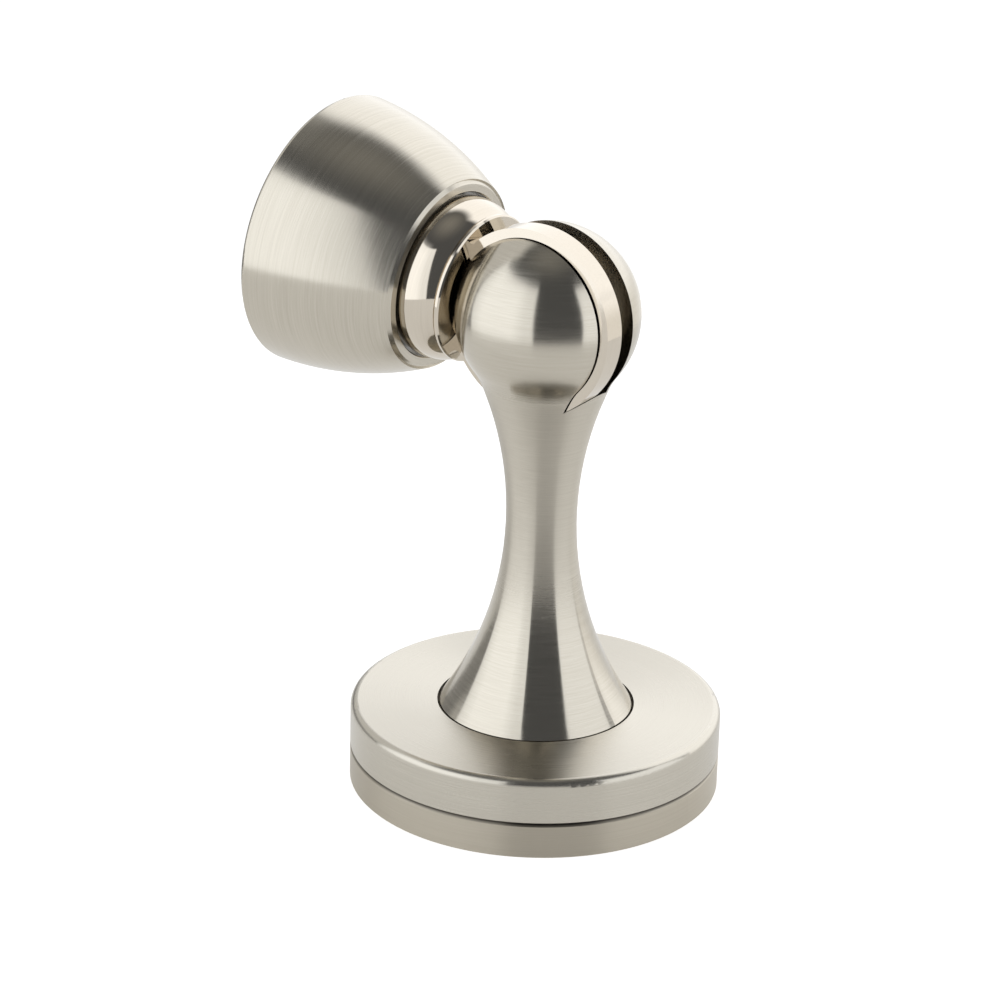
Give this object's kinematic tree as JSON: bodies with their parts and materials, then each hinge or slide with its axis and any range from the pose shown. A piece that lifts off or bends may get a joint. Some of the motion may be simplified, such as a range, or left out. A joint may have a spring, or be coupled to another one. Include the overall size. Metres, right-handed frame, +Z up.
{
  "type": "floor door holder",
  "caption": "Floor-mounted magnetic door holder: a bell-shaped magnet head on a slotted ball joint, over a waisted post and a round two-disc base.",
  "frame": {"origin": "centre of the mounting plate's underside, on the floor", "axes": "+Z up, away from the floor; -X the way the magnet head points; the head's pivot runs along Y, with its screw head on the +Y side"},
  "size_m": [0.0641, 0.05, 0.0889],
  "materials": {
    "satin_nickel": "fine brushed satin nickel plate",
    "polished_nickel": "polished nickel plate",
    "steel": "plain ground steel",
    "spring_steel": "bright spring steel",
    "black_steel": "black oxide",
    "bronze": "plain bronze",
    "nylon": "natural nylon",
    "magnet": "bright plated magnet",
    "resin": "black potting resin",
    "rubber": "matte black rubber"
  },
  "bodies": {
    "base": {"mounting_plate": "satin_nickel", "base_cover": "satin_nickel", "cover_set_screw": "black_steel", "foot_disc_spring": "spring_steel", "foot_washer": "nylon"},
    "post": {"post": "satin_nickel", "pivot_screw": "steel", "slot_friction_washer": "nylon", "slot_flat_washer": "steel", "slot_disc_springs": "spring_steel"},
    "neck": {"neck": "polished_nickel", "tongue_bush": "bronze", "guide_flange": "steel", "flange_screw": "black_steel", "buffer_spring": "spring_steel"},
    "cup": {"head_cup": "satin_nickel", "pole_pot": "steel", "magnet": "magnet", "magnet_spacer": "resin", "magnet_screw": "steel", "rubber_bumper": "rubber"}
  },
  "joints": [
    {"name": "post_swivel", "type": "hinge", "parent": "base", "child": "post", "pos_m": [0, 0, 0], "axis": [0, 0, 1], "continuous": true},
    {"name": "head_tilt", "type": "hinge", "parent": "post", "child": "neck", "pos_m": [0, 0, 0.066], "axis": [0, 1, 0], "range_deg": [-17, 182]},
    {"name": "cup_buffer", "type": "slide", "parent": "neck", "child": "cup", "axis": [0.9925, 0, -0.1219], "range_m": [0, 0.0025], "stiffness_N_per_m": 3000, "springref_m": -0.004, "deforming": ["buffer_spring"]}
  ]
}
